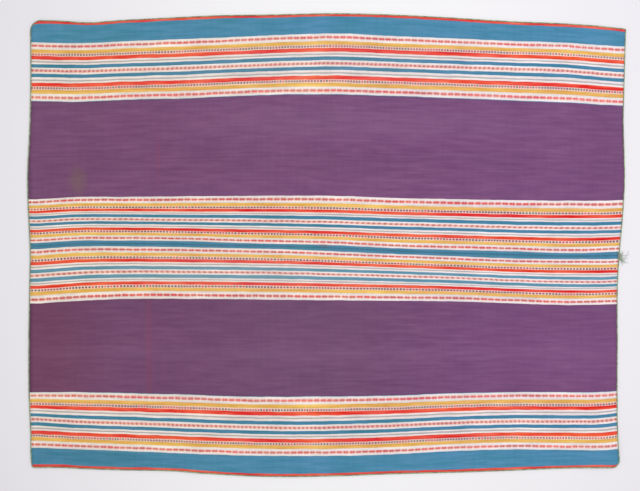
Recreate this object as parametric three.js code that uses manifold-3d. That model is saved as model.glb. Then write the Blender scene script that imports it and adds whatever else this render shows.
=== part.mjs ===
// A woven mantle laid out flat: two long warp-striped panels sewn edge to edge along the middle,
// a narrow edging woven round the whole rim, and the loose ends of the edging's threads.
// Millimetres. X runs along the warp, Y towards the far long edge, Z up from the surface it lies on.
import * as THREE from "three";
import { mergeVertices } from "three/addons/utils/BufferGeometryUtils.js";
import Module from "manifold-3d";

// Cloth
const CLOTH_THICK = 1.6;
const SEAM_GAP = 0.3;
const PANEL_LENGTH = 1190;
const PANEL_WIDTH = 458;

// Edging: a C-shaped strip that holds the cloth's rim between two lips
const FIT_GAP = 0.3;
const LIP_THICK = 0.7;
const LIP_REACH = 1.8;
const LIP_SLANT = 0.3;
const RIM_WALL = 0.9;
const RIM_CHAMFER = 0.7;
const EDGE_RISE = LIP_THICK + FIT_GAP;
const RIM_REACH = FIT_GAP + RIM_WALL;
const RIM_HEIGHT = CLOTH_THICK + 2 * EDGE_RISE;

// Spacing of the cloth's facets: close steps in from a bound rim, then even cells between them
const RIM_STEPS = [0, 6, 14, 22];
const LENGTH_CELLS = 34;
const WIDTH_CELLS = 13;
const SETTLE_PASSES = 4;

// The long edges and the seam at stations along X, measured over the edging
const LONG_ROWS = [
  { x: -585, near: -446, seam: -2, far: 451 },
  { x: -530, near: -446, seam: 1, far: 449.5 },
  { x: -495, near: -448, seam: 3, far: 446.5 },
  { x: -415, near: -450.5, seam: 3, far: 451 },
  { x: -300, near: -453.5, seam: 2, far: 457 },
  { x: -235, near: -458.5, seam: 0, far: 460 },
  { x: -115, near: -464, seam: -2, far: 462 },
  { x: 15, near: -462.5, seam: -6, far: 464.5 },
  { x: 125, near: -458.5, seam: -11, far: 462 },
  { x: 245, near: -455.5, seam: -16, far: 456 },
  { x: 365, near: -451.5, seam: -19, far: 448.5 },
  { x: 475, near: -447, seam: -22, far: 444 },
  { x: 545, near: -446, seam: -21.5, far: 439 },
  { x: 590, near: -447, seam: -20, far: 434 },
];

// The two ends at stations along Y, measured over the edging
const END_ROWS = [
  { y: -446, left: -594.5, right: 582.5 },
  { y: -430, left: -596.5, right: 582.5 },
  { y: -415, left: -597.5, right: 581 },
  { y: -390, left: -597.5, right: 579.5 },
  { y: -295, left: -601, right: 578 },
  { y: -200, left: -601.5, right: 578.5 },
  { y: -70, left: -599.5, right: 579 },
  { y: -7, left: -598.5, right: 583 },
  { y: 60, left: -602, right: 589 },
  { y: 120, left: -604, right: 592.5 },
  { y: 250, left: -599, right: 590.5 },
  { y: 330, left: -597.5, right: 592 },
  { y: 430, left: -598, right: 595 },
];

// The two panels: which way each lies from the seam, its outer edge, and its outer corners' radii
const PANELS = [
  { name: "upper_panel", side: 1, edge: "far", leftRadius: 22, rightRadius: 4, colour: 0x7d5779 },
  { name: "lower_panel", side: -1, edge: "near", leftRadius: 5, rightRadius: 17, colour: 0x74506f },
];

// Where the cloth stands off the surface: soft ridges, puckers and swells, each an ellipse in plan.
// The turn is in degrees from X to the ridge's long axis.
const SWELLS = [
  { at: "fold line, upper", x: 14, y: 270, halfLength: 230, halfWidth: 42, turn: 91, height: 2.6 },
  { at: "fold line, lower", x: 8, y: -215, halfLength: 220, halfWidth: 40, turn: 89, height: 1.8 },
  { at: "far edge pucker", x: -500, y: 405, halfLength: 95, halfWidth: 42, turn: 84, height: 2.2 },
  { at: "near edge pucker", x: -272, y: -405, halfLength: 95, halfWidth: 45, turn: 98, height: 2.4 },
  { at: "left seam end", x: -560, y: 8, halfLength: 70, halfWidth: 40, turn: 6, height: 2 },
  { at: "right seam end", x: 530, y: 22, halfLength: 95, halfWidth: 45, turn: -14, height: 2.4 },
  { at: "upper field, left", x: -265, y: 182, halfLength: 190, halfWidth: 70, turn: 8, height: 2.4 },
  { at: "upper field, right", x: 330, y: 205, halfLength: 170, halfWidth: 60, turn: -12, height: 2 },
  { at: "lower field, left", x: -385, y: -205, halfLength: 150, halfWidth: 60, turn: 14, height: 1.8 },
  { at: "lower field, right", x: 305, y: -195, halfLength: 210, halfWidth: 64, turn: -7, height: 2.2 },
  { at: "near right corner", x: 548, y: -415, halfLength: 80, halfWidth: 55, turn: 38, height: 3 },
];

// Loose thread ends: a small knot against the edging where it starts and stops, with its strands.
// The turn is in degrees from X, the bend is how far a strand's middle strays to its left.
const KNOT = { x: 584.7, y: -28, radius: 3, height: 3.4, shoulder: 1.6, crown: 1.7, sides: 10 };
const STRAND_THICK = 1.2;
const STRAND_STEPS = 6;
const STRAND_ROWS = [
  { turn: 83, length: 19, bend: -1.5 },
  { turn: 62, length: 17, bend: 2 },
  { turn: 47, length: 25, bend: -2.5 },
  { turn: 25, length: 20.5, bend: 2.5 },
  { turn: 4, length: 15, bend: 1 },
  { turn: -23, length: 18, bend: -2 },
  { turn: -52, length: 13, bend: 1.5 },
  { turn: -80, length: 15, bend: 1.5 },
];

const EDGING_COLOUR = 0x7c8a66;
const THREAD_COLOUR = 0x93a08c;
const WOOL_ROUGHNESS = 0.9;

function smoothColumn(rows, station, column) {
  const places = rows.map((row) => row[station]);
  const values = rows.map((row) => row[column]);
  const curve = new THREE.CubicInterpolant(places, values, 1);
  return (place) => curve.evaluate(place)[0];
}

const outline = {
  near: smoothColumn(LONG_ROWS, "x", "near"),
  seam: smoothColumn(LONG_ROWS, "x", "seam"),
  far: smoothColumn(LONG_ROWS, "x", "far"),
  left: smoothColumn(END_ROWS, "y", "left"),
  right: smoothColumn(END_ROWS, "y", "right"),
};

// Stations from 0 to 1 across a size, with the close rim steps at the end, and at the start if bound
function stations(size, cells, boundAtStart) {
  const rimSteps = RIM_STEPS.map((step) => step / size);
  const start = boundAtStart ? rimSteps : [0];
  const end = rimSteps.map((step) => 1 - step).reverse();
  const first = start.at(-1);
  const between = Array.from({ length: cells - 1 }, (_, i) => first + ((i + 1) / cells) * (end[0] - first));
  return [...start, ...between, ...end];
}

const alongStations = stations(PANEL_LENGTH, LENGTH_CELLS, true);
const acrossStations = stations(PANEL_WIDTH, WIDTH_CELLS, false);

// How far a spot lies in from the nearest bound rim
function fromRim(u, v) {
  return Math.min(u * PANEL_LENGTH, (1 - u) * PANEL_LENGTH, (1 - v) * PANEL_WIDTH);
}

// Draws a square corner's spots in on to a quarter circle
function roundCorner(panel, u, v) {
  const onLeft = u < 0.5;
  const radius = (onLeft ? panel.leftRadius : panel.rightRadius) - RIM_REACH;
  const endward = 1 - (Math.min(u, 1 - u) * PANEL_LENGTH) / radius;
  const edgeward = 1 - ((1 - v) * PANEL_WIDTH) / radius;
  if (endward <= 0 || edgeward <= 0) {
    return { u, v };
  }
  const inEnd = (radius * (1 - endward * Math.sqrt(1 - edgeward ** 2 / 2))) / PANEL_LENGTH;
  const inEdge = (radius * (1 - edgeward * Math.sqrt(1 - endward ** 2 / 2))) / PANEL_WIDTH;
  return { u: onLeft ? inEnd : 1 - inEnd, v: 1 - inEdge };
}

// A spot of a panel in plan: u runs from the left end to the right, v from the seam to the outer edge
function planSpot(panel, squareU, squareV) {
  const { u, v } = roundCorner(panel, squareU, squareV);
  const spot = new THREE.Vector2();
  for (let pass = 0; pass < SETTLE_PASSES; pass += 1) {
    const leftEnd = outline.left(spot.y) + RIM_REACH;
    const rightEnd = outline.right(spot.y) - RIM_REACH;
    spot.x = THREE.MathUtils.lerp(leftEnd, rightEnd, u);
    const seamEdge = outline.seam(spot.x) + (panel.side * SEAM_GAP) / 2;
    const outerEdge = outline[panel.edge](spot.x) - panel.side * RIM_REACH;
    spot.y = THREE.MathUtils.lerp(seamEdge, outerEdge, v);
  }
  return spot;
}

function swellHeight(spot) {
  return SWELLS.reduce((lift, row) => {
    const turn = THREE.MathUtils.degToRad(row.turn);
    const local = spot.clone().sub(new THREE.Vector2(row.x, row.y)).rotateAround(new THREE.Vector2(), -turn);
    const reach = Math.min(1, Math.hypot(local.x / row.halfLength, local.y / row.halfWidth));
    return lift + (row.height * (1 + Math.cos(Math.PI * reach))) / 2;
  }, 0);
}

// A panel's sheet: a box of cells whose corners are moved to their places on the laid-out cloth
function panelGeometry(panel) {
  const lengthCells = alongStations.length - 1;
  const widthCells = acrossStations.length - 1;
  const sheet = new THREE.BoxGeometry(lengthCells, widthCells, CLOTH_THICK, lengthCells, widthCells, 1);
  const corners = sheet.getAttribute("position");
  for (let i = 0; i < corners.count; i += 1) {
    const u = alongStations[Math.round(corners.getX(i) + lengthCells / 2)];
    const row = Math.round(corners.getY(i) + widthCells / 2);
    const v = acrossStations[panel.side > 0 ? row : widthCells - row];
    const spot = planSpot(panel, u, v);
    const [rimFlat, , rimEnd] = RIM_STEPS.slice(1);
    const rise = EDGE_RISE * (1 - THREE.MathUtils.smoothstep(fromRim(u, v), rimFlat, rimEnd));
    const underside = rise + swellHeight(spot);
    corners.setXYZ(i, spot.x, spot.y, underside + corners.getZ(i) + CLOTH_THICK / 2);
  }
  sheet.computeVertexNormals();
  return sheet;
}

// The cloth's rim in order, anticlockwise from the right end of the seam and back to it
function rimSpots() {
  const [upper, lower] = PANELS;
  const outwards = acrossStations;
  const inwards = [...acrossStations].reverse();
  const leftwards = [...alongStations].reverse();
  return [
    ...outwards.map((v) => planSpot(upper, 1, v)),
    ...leftwards.slice(1).map((u) => planSpot(upper, u, 1)),
    ...inwards.slice(1).map((v) => planSpot(upper, 0, v)),
    ...outwards.slice(1).map((v) => planSpot(lower, 0, v)),
    ...alongStations.slice(1).map((u) => planSpot(lower, u, 1)),
    ...inwards.slice(1).map((v) => planSpot(lower, 1, v)),
  ];
}

// The edging's section: x outwards from the cloth's rim, y up from the surface below
function edgingSection() {
  const slotTop = RIM_HEIGHT - LIP_THICK;
  return [
    new THREE.Vector2(-LIP_REACH, LIP_THICK),
    new THREE.Vector2(LIP_SLANT - LIP_REACH, 0),
    new THREE.Vector2(RIM_REACH - RIM_CHAMFER, 0),
    new THREE.Vector2(RIM_REACH, RIM_CHAMFER),
    new THREE.Vector2(RIM_REACH, RIM_HEIGHT - RIM_CHAMFER),
    new THREE.Vector2(RIM_REACH - RIM_CHAMFER, RIM_HEIGHT),
    new THREE.Vector2(LIP_SLANT - LIP_REACH, RIM_HEIGHT),
    new THREE.Vector2(-LIP_REACH, slotTop),
    new THREE.Vector2(FIT_GAP, slotTop),
    new THREE.Vector2(FIT_GAP, LIP_THICK),
  ];
}

// The outward direction at a rim spot, lengthened at a corner so that the strip keeps its width
function outwardAt(spots, i) {
  const before = spots[Math.max(0, i - 1)];
  const after = spots[Math.min(spots.length - 1, i + 1)];
  const arriving = spots[i].clone().sub(before).normalize();
  const leaving = after.clone().sub(spots[i]).normalize();
  const tangent = arriving.clone().add(leaving).normalize();
  const straight = i === 0 ? leaving : arriving;
  const outward = new THREE.Vector2(tangent.y, -tangent.x);
  return outward.divideScalar(tangent.dot(straight));
}

// One closed strip through a row of equal sections, with a flat cap at each end
function loft(rings, section) {
  const count = section.length;
  const faces = [];
  for (let ring = 0; ring < rings.length - 1; ring += 1) {
    for (let i = 0; i < count; i += 1) {
      const here = ring * count + i;
      const next = ring * count + ((i + 1) % count);
      faces.push(here, here + count, next, next, here + count, next + count);
    }
  }
  const lastRing = (rings.length - 1) * count;
  for (const [a, b, c] of THREE.ShapeUtils.triangulateShape(section, [])) {
    faces.push(a, b, c, lastRing + a, lastRing + c, lastRing + b);
  }
  const strip = new THREE.BufferGeometry().setFromPoints(rings.flat());
  strip.setIndex(faces);
  strip.computeVertexNormals();
  return strip;
}

function edgingGeometry() {
  const spots = rimSpots();
  const section = edgingSection();
  const rings = spots.map((spot, i) => {
    const outward = outwardAt(spots, i);
    const base = swellHeight(spot);
    return section.map((corner) => {
      const plan = spot.clone().addScaledVector(outward, corner.x);
      return new THREE.Vector3(plan.x, plan.y, base + corner.y);
    });
  });
  return loft(rings, section);
}

// A strand lying on the surface, from the knot's middle to its free end
function strandGeometry({ turn, length, bend }) {
  const half = STRAND_THICK / 2;
  const square = new THREE.Shape([
    new THREE.Vector2(-half, -half),
    new THREE.Vector2(half, -half),
    new THREE.Vector2(half, half),
    new THREE.Vector2(-half, half),
  ]);
  const middle = new THREE.Vector3(length / 2, bend, half);
  const end = new THREE.Vector3(length, 0, half);
  const path = new THREE.QuadraticBezierCurve3(new THREE.Vector3(0, 0, half), middle, end);
  const strand = new THREE.ExtrudeGeometry(square, { steps: STRAND_STEPS, extrudePath: path });
  return strand.rotateZ(THREE.MathUtils.degToRad(turn)).translate(KNOT.x, KNOT.y, 0);
}

function knotGeometry() {
  const profile = [
    new THREE.Vector2(0, 0),
    new THREE.Vector2(KNOT.radius - KNOT.shoulder / 2, 0),
    new THREE.Vector2(KNOT.radius, KNOT.shoulder),
    new THREE.Vector2(KNOT.crown, KNOT.height),
    new THREE.Vector2(0, KNOT.height),
  ];
  return new THREE.LatheGeometry(profile, KNOT.sides).rotateX(Math.PI / 2).translate(KNOT.x, KNOT.y, 0);
}

const wasm = await Module();
wasm.setup();

function toSolid(geometry) {
  const bare = geometry.clone();
  bare.deleteAttribute("normal");
  bare.deleteAttribute("uv");
  const merged = mergeVertices(bare);
  return new wasm.Manifold(new wasm.Mesh({
    numProp: 3,
    vertProperties: new Float32Array(merged.getAttribute("position").array),
    triVerts: new Uint32Array(merged.getIndex().array),
  }));
}

function toGeometry(solid) {
  const { vertProperties, triVerts } = solid.getMesh();
  const geometry = new THREE.BufferGeometry();
  geometry.setAttribute("position", new THREE.BufferAttribute(vertProperties, 3));
  geometry.setIndex(new THREE.BufferAttribute(triVerts, 1));
  geometry.computeVertexNormals();
  return geometry;
}

function tuftGeometry() {
  const knot = toSolid(knotGeometry());
  return toGeometry(STRAND_ROWS.reduce((tuft, row) => tuft.add(toSolid(strandGeometry(row))), knot));
}

function wool(colour) {
  return new THREE.MeshStandardMaterial({ color: colour, roughness: WOOL_ROUGHNESS, metalness: 0 });
}

function piece(name, geometry, colour) {
  const mesh = new THREE.Mesh(geometry, wool(colour));
  mesh.name = name;
  return mesh;
}

const mantle = new THREE.Group();
for (const panel of PANELS) {
  mantle.add(piece(panel.name, panelGeometry(panel), panel.colour));
}
mantle.add(piece("edge_binding", edgingGeometry(), EDGING_COLOUR));
mantle.add(piece("thread_tuft", tuftGeometry(), THREAD_COLOUR));

export default mantle;
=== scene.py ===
import math

import bpy
import numpy as np
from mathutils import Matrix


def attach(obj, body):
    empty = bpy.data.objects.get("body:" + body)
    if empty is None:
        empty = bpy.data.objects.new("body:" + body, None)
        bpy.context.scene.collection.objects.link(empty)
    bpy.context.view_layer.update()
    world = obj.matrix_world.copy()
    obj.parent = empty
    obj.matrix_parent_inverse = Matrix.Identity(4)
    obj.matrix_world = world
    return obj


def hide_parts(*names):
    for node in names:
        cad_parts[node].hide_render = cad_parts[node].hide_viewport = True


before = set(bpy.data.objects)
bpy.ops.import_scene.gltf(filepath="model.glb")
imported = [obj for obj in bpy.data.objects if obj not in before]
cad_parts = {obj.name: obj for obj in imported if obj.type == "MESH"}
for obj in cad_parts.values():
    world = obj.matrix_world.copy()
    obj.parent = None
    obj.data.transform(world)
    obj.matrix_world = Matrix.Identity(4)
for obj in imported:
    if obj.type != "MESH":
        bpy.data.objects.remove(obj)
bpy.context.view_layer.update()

# Lengths in this script are millimetres until a mesh, lamp or camera is made.
MM = 0.001


def table(columns, *rows):
    """The rows of a table by name, with its columns' names written once."""
    names = columns.split()
    return [dict(zip(names, row)) for row in rows]


# Cloth and edging. The outline's tables are measured over the solid's edging, RIM_REACH from the cloth.
CLOTH_THICK = 1.5
SEAM_GAP = 0.3
RIM_REACH = 1.2
RIM_FLAT, RIM_END = 6, 22
EDGE_RISE = 0.6
EDGING_OUT, EDGING_IN = 0.8, 1.3
LIP_THICK = 0.5
RIM_HEIGHT = CLOTH_THICK + 2 * EDGE_RISE
# The seam's sewn ridge and the lumps of plied thread, as a share of its radius
SEAM_RIDGE, SEAM_RIDGE_WIDE = 0.45, 4.5
PLY_LUMP = 0.16
# The edging's slanting ribs, and the steps of its path
RIB_PITCH, RIM_STEP = 3.4, 1.0
# Passes in which a panel's x and y settle, as each depends on the other
SETTLE_PASSES = 4
# The upper face's unevenness, with bumps of two sizes, and how many bumps go by before they repeat
UNEVEN = table("height long wide seed", (0.16, 46, 11, 3), (0.14, 17, 23, 4))
NOISE_CELLS = 64

# The long edges and the seam at stations along the warp, measured over the edging, and how wide the red
# selvedge is at each long edge
LONG_ROWS = table(
    "x near seam far near_red far_red",
    (-585, -446, -2, 451, 5.2, 4.9),
    (-530, -446, 1, 449.5, 5.0, 4.5),
    (-495, -448, 3, 446.5, 4.6, 3.8),
    (-415, -450.5, 3, 451, 4.4, 4.1),
    (-300, -453.5, 2, 457, 4.3, 4.3),
    (-235, -458.5, 0, 460, 3.9, 4.2),
    (-115, -464, -2, 462, 4.2, 4.2),
    (15, -462.5, -6, 464.5, 4.2, 4.1),
    (125, -458.5, -11, 462, 4.2, 4.3),
    (245, -455.5, -16, 456, 4.2, 4.7),
    (365, -451.5, -19, 448.5, 4.7, 4.6),
    (475, -447, -22, 444, 3.9, 5.0),
    (545, -446, -21.5, 439, 4.4, 4.7),
    (590, -447, -20, 434, 4.3, 4.6),
)

# The two ends at stations across the cloth, measured over the edging
END_ROWS = table(
    "y left right",
    (-446, -594.5, 582.5),
    (-430, -596.5, 582.5),
    (-415, -597.5, 581),
    (-390, -597.5, 579.5),
    (-295, -601, 578),
    (-200, -601.5, 578.5),
    (-70, -599.5, 579),
    (-7, -598.5, 583),
    (60, -602, 589),
    (120, -604, 592.5),
    (250, -599, 590.5),
    (330, -597.5, 592),
    (430, -598, 595),
)

# Where each panel's bands end as it lies: the outer blue, the outer stripes (and their middle), the
# plain field, the inner stripes (and their middle)
UPPER_BANDS = table(
    "x blue outer_mid outer field inner_mid inner",
    (-584, 406, 349.5, 288, 92, 48, 4),
    (-496, 404.5, 348, 287, 97, 52, 9),
    (-416, 408, 350.5, 290.5, 97, 52, 9),
    (-296, 412.5, 354, 293.5, 98, 50.5, 8),
    (-176, 417.5, 359, 298.5, 99, 49.5, 4),
    (-56, 422.5, 363, 302, 99.5, 47.5, 1.5),
    (14, 424, 364, 301.5, 99, 46, -0.5),
    (124, 419, 360.5, 298.5, 95, 42.5, -6),
    (244, 414.4, 356.4, 294.4, 92.5, 39.5, -9.5),
    (364, 409.1, 352.6, 289.6, 90.5, 36, -12.5),
    (474, 405.5, 349, 285.5, 89.5, 34.5, -16),
    (568, 399, 341, 280, 90, 35, -13.5),
    (590, 397.8, 339.3, 279.3, 91, 36, -12),
)
LOWER_BANDS = table(
    "x blue outer_mid outer field inner_mid inner",
    (-584, -405.5, -348, -294, -117, -61.5, -7.5),
    (-496, -409, -353.5, -294, -111.5, -55, -2),
    (-416, -412, -356, -295.5, -108, -53, -2),
    (-296, -416.5, -360, -298.5, -107.5, -53.5, -3.5),
    (-176, -421, -364, -302.5, -108.5, -54.5, -6),
    (-56, -422, -366, -303, -110, -56.5, -9),
    (14, -421.8, -364.8, -302.3, -110.5, -58.5, -12),
    (124, -418.8, -361.3, -300.8, -111.5, -61.5, -17),
    (244, -412.5, -356, -296.5, -112.5, -65.5, -21.5),
    (364, -409, -352.5, -294, -116.5, -70.5, -26),
    (474, -410, -353, -294, -120, -73.5, -27.5),
    (550, -410, -351.5, -293.5, -119, -73.5, -27.5),
    (582, -407.5, -347, -291, -118, -72, -27),
)

# Where the cloth stands off the surface, each swell an ellipse in plan turned by so many degrees
SWELLS = table(
    "x y half_long half_wide turn height",
    (14, 270, 230, 42, 91, 2.6),
    (8, -215, 220, 40, 89, 1.8),
    (-500, 405, 95, 42, 84, 2.2),
    (-272, -405, 95, 45, 98, 2.4),
    (-560, 8, 70, 40, 6, 2),
    (530, 22, 95, 45, -14, 2.4),
    (-265, 182, 190, 70, 8, 2.4),
    (330, 205, 170, 60, -12, 2),
    (-385, -205, 150, 60, 14, 1.8),
    (305, -195, 210, 64, -7, 2.2),
    (548, -415, 80, 55, 38, 3),
)

# The warp plan of one striped group, side to side: what each stripe is and its count of warps
STRIPE_PLAN = [
    ("white", 8), ("dash", 9), ("white", 8), ("yellow", 12), ("dots", 10), ("red", 12),
    ("white", 5), ("line", 5), ("white", 5), ("blue", 11), ("white", 6), ("mid", 8),
    ("white", 5), ("blue", 11), ("white", 6), ("line", 5), ("white", 5), ("red", 12),
    ("dots", 10), ("yellow", 12), ("white", 8), ("dash", 9), ("white", 8),
]
GROUP_WARPS = sum(count for _, count in STRIPE_PLAN)
# How much of the group's first and last warp the ground beside it covers
GROUND_OVER = 0.7
# How far the stripes stand proud of the ground, the rest by PLAIN_PROUD, with a groove at each one's side
STRIPE_PROUD = dict(dash=0.22, dots=0.16, mid=0.18, line=0.02)
PLAIN_PROUD, GROOVE = 0.1, -0.06
# The panel's bands from the outer edge to the seam: the line each one ends at, and its count of warps
BANDS = [
    ("selvedge", 10), ("blue", 55), ("outer_mid", GROUP_WARPS / 2), ("outer", GROUP_WARPS / 2),
    ("field", 308), ("inner_mid", GROUP_WARPS / 2), ("inner", GROUP_WARPS / 2), ("seam", 9),
]
BAND_STARTS = [sum(count for _, count in BANDS[:i]) for i in range(len(BANDS) + 1)]
OUTER_START, FIELD_START, INNER_START, ALL_WARPS = (BAND_STARTS[i] for i in (2, 4, 5, 8))
# How the beaten-in stripes have spread in each half, planned and woven: the middles of the yellow and red
# ones, and about the sides of the inner group's blue one
HALF_SPREAD = dict(
    outer_mid=((0.326, 0.558), (0.313, 0.542)),
    outer=((0.442, 0.674), (0.454, 0.683)),
    inner_mid=((0.326, 0.558, 0.779, 0.895), (0.356, 0.587, 0.778, 0.905)),
    inner=((0.105, 0.221, 0.442, 0.674), (0.102, 0.236, 0.443, 0.687)),
)

# The mesh across the cloth: a stripe's warps in each cell, and the cells of each plain band
WARPS_A_CELL = 4
PLAIN_CELLS = dict(selvedge=6, blue=9, field=44, seam=3)

PANELS = dict(
    upper=dict(side=1, edge="far", bands=UPPER_BANDS, left_radius=22, right_radius=4),
    lower=dict(side=-1, edge="near", bands=LOWER_BANDS, left_radius=5, right_radius=17),
)

# Wool colours as they look in daylight, red, green and blue out of 255
WOOL = dict(
    purple=(123, 79, 121), blue=(77, 140, 172), seam_blue=(74, 136, 164), white=(241, 230, 225),
    red=(240, 80, 57), selvedge=(241, 86, 72), yellow=(236, 184, 94), line=(187, 178, 177),
    stripe_blue=(70, 133, 163), faded_blue=(98, 151, 173), dash=(246, 201, 195), dots=(243, 208, 196),
    mid=(246, 184, 174), dash_red=(232, 99, 92), dash_brick=(213, 113, 103), block=(209, 127, 116),
    indigo=(88, 72, 98), plum=(154, 70, 90), bottle=(84, 108, 98), crimson=(200, 74, 78), soot=(102, 80, 80),
    stain=(126, 102, 94), teal=(72, 150, 156), deep_blue=(44, 96, 128), worn=(98, 62, 76),
    madder=(158, 66, 96), russet=(112, 52, 66), dun=(100, 80, 92), mauve=(134, 78, 132),
    faded_purple=(150, 112, 150), deep_purple=(80, 46, 80), edging=(158, 180, 140), olive=(120, 130, 98),
    knot=(156, 174, 146), thread=(168, 178, 158), pale_thread=(216, 220, 214), seam=(66, 118, 146),
)
# Repeats of the woven motifs along the warp, in the outer and the inner stripes
REPEATS = dict(dash=(13.1, 13.8), dots=(5.6, 6.3), mid=(8.7, 10.8))
# Small motifs charted on squared paper, where a row stands for two or three warps
DASH_CHART = [
    "..###..###....",
    "############..",
    "############..",
    "..###..###....",
]
BLOCK_CHART = [
    "..####....",
    "#######...",
    ".####.....",
]
TICK_CHART = [".....", "###..", "###..", "###..", "....."]
# How much the motifs of the outer stripes have worn
OUTER_WORN = 0.1
# The dots change dye every few repeats, and every other dot has a second dye
RUN_TICKS = 5
TICK_DYES = ("indigo", "plum", "soot", "bottle", "crimson", "soot", "plum")
# Uneven beating shifts the motifs slowly along the warp
BEAT_SLOW, BEAT_FAR = 0.012, 9.0
# How far a motif's warps stray from one another, and how far apart the rows of motifs start
WARP_STRAY = 0.7
GROUP_APART, SIDE_APART, ROW_APART = 9.3, 3.7, 5.3
# What sets the dye of every other dot, and the beating between which the dashes turn from red to brick
SECOND_DYE = 0.37
DASH_TURNS = (0.35, 0.65)
# From one weft to the next
PICK = 1.05
# Uneven dye: how fine its noise is along and across the threads, and the noise's detail
DYE_NOISE = dict(batch=(0.014, 0.085, 2.0), beat=(0.12, 0.008, 3.0), patch=(0.005, 0.011, 2.0))
# The shader's settings for all the wool, and the dark that the painted shade between threads blends to; the
# cloth's dark also darkens its rim
WOOL_SHADER = {"Roughness": 0.9, "Specular IOR Level": 0.2, "Sheen Weight": 0.12, "Sheen Roughness": 0.5}
BUMP_DEEP = 0.0003
CLOTH_DARK, THREAD_SHADE = (0.02, 0.012, 0.016, 1), (0.02, 0.022, 0.016, 1)
# The cloth is darker next to the edging and even from the second length on
RIM_DARKER = (3.5, 8.0)
# Loose threads pale from root to tip between these lengths
TIP_PALES = (2.0, 9.0)
# Stains, wear, fading and darker strips. A spot is a place along the warp, a warp, half its length, half its
# warps and its raggedness. The marks of the field keep to the plain field, and the others lie on the stripes
# too.
SPOT_SIZES = ("Middle", "Middle Warp", "Half Long", "Half Warps", "Ragged")
UPPER_MARKS = table(
    "spot dye share field",
    ((-502, 512, 24, 66, 1.0), "stain", 0.5, 1),
    ((-342, 440, 6, 120, 0.6), "madder", 0.2, 1),
    ((-540, 409, 260, 600, 0.2), "worn", 0.12, 1),
    ((60, 335, 480, 75, 0.2), "faded_purple", 0.2, 1),
    ((-100, 455, 900, 75, 0.2), "deep_purple", 0.08, 1),
    ((-580, 262, 360, 34, 0.2), "deep_purple", 0.14, 1),
    ((600, 409, 170, 500, 0.2), "deep_purple", 0.08, 1),
    # A darker strip along the left end of the plain field
    ((-602, 409, 12, 2000, 0.2), "deep_purple", 0.3, 1),
    ((-60, 160, 520, 110, 0.2), "white", 0.04, 0),
    ((-10, 754, 18, 9, 1.0), "stain", 0.5, 0),
    ((-55, 759, 48, 9, 0.6), "teal", 0.5, 0),
)
LOWER_MARKS = table(
    "spot dye share field",
    ((-360, 409, 11, 500, 0.2), "madder", 0.2, 1),
    ((-600, 409, 190, 600, 0.2), "russet", 0.42, 1),
    ((-360, 409, 300, 600, 0.2), "worn", 0.2, 1),
    ((-40, 409, 300, 600, 0.2), "dun", 0.2, 1),
    ((470, 409, 230, 400, 0.5), "mauve", 0.14, 1),
    ((0, 563, 1500, 170, 0.2), "deep_purple", 0.14, 1),
    ((0, 390, 1500, 32, 0.2), "faded_purple", 0.1, 1),
    ((0, 255, 1500, 110, 0.2), "deep_purple", 0.09, 1),
    # A darker strip along the left end of the plain field
    ((-601, 409, 12, 2000, 0.2), "deep_purple", 0.5, 1),
    ((-200, 658, 330, 110, 0.2), "white", 0.07, 0),
    ((-480, 38, 260, 40, 0.4), "deep_blue", 0.25, 0),
    ((-50, 758, 60, 9, 0.6), "teal", 0.4, 0),
)


# Tables and curves

def smooth(rows, station, column, at):
    """A smooth curve through one column of a table, read at many stations."""
    place = np.array([row[station] for row in rows], float)
    value = np.array([row[column] for row in rows], float)
    gap = np.diff(place)
    slope = np.diff(value) / gap
    lean = np.concatenate([slope[:1], slope, slope[-1:]])
    wide = np.concatenate([gap[:1], gap, gap[-1:]])
    tangent = (lean[:-1] * wide[1:] + lean[1:] * wide[:-1]) / (wide[:-1] + wide[1:])
    at = np.clip(at, place[0], place[-1])
    i = np.clip(np.searchsorted(place, at, side="right") - 1, 0, len(gap) - 1)
    t = (at - place[i]) / gap[i]
    start = (2 * t**3 - 3 * t**2 + 1) * value[i] + (t**3 - 2 * t**2 + t) * gap[i] * tangent[i]
    end = (3 * t**2 - 2 * t**3) * value[i + 1] + (t**3 - t**2) * gap[i] * tangent[i + 1]
    return start + end


def soft_noise(x, y, size_x, size_y, seed):
    """Smooth uneven heights from -1 to 1, with bumps of about the given sizes."""
    heights = np.random.default_rng(seed).uniform(-1, 1, (NOISE_CELLS, NOISE_CELLS))
    column, row = x / size_x, y / size_y
    c, r = np.floor(column).astype(int), np.floor(row).astype(int)
    a, b = column - c, row - r
    a, b = a * a * (3 - 2 * a), b * b * (3 - 2 * b)
    c, r, next_c, next_r = (n % NOISE_CELLS for n in (c, r, c + 1, r + 1))
    top = heights[r, c] * (1 - a) + heights[r, next_c] * a
    low = heights[next_r, c] * (1 - a) + heights[next_r, next_c] * a
    return top * (1 - b) + low * b


def swell_height(x, y):
    """How far the cloth's underside stands off the surface at each spot."""
    lift = np.zeros_like(x)
    for s in SWELLS:
        turn = math.radians(s["turn"])
        dx, dy = x - s["x"], y - s["y"]
        along = dx * math.cos(turn) + dy * math.sin(turn)
        across = dy * math.cos(turn) - dx * math.sin(turn)
        reach = np.minimum(1, np.hypot(along / s["half_long"], across / s["half_wide"]))
        lift += s["height"] * (1 + np.cos(math.pi * reach)) / 2
    return lift


# The cloth's rows and columns

def group_rows():
    """Places from 0 to 1 across a striped group, at the stripes' sides and within, and each one's relief."""
    places, relief, warp = [], [], 0
    for kind, count in STRIPE_PLAN:
        cells = max(2, round(count / WARPS_A_CELL))
        for cell in range(cells):
            places.append((warp + count * cell / cells) / GROUP_WARPS)
            relief.append(STRIPE_PROUD.get(kind, PLAIN_PROUD) if cell else GROOVE)
        warp += count
    return np.array(places), np.array(relief)


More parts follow.
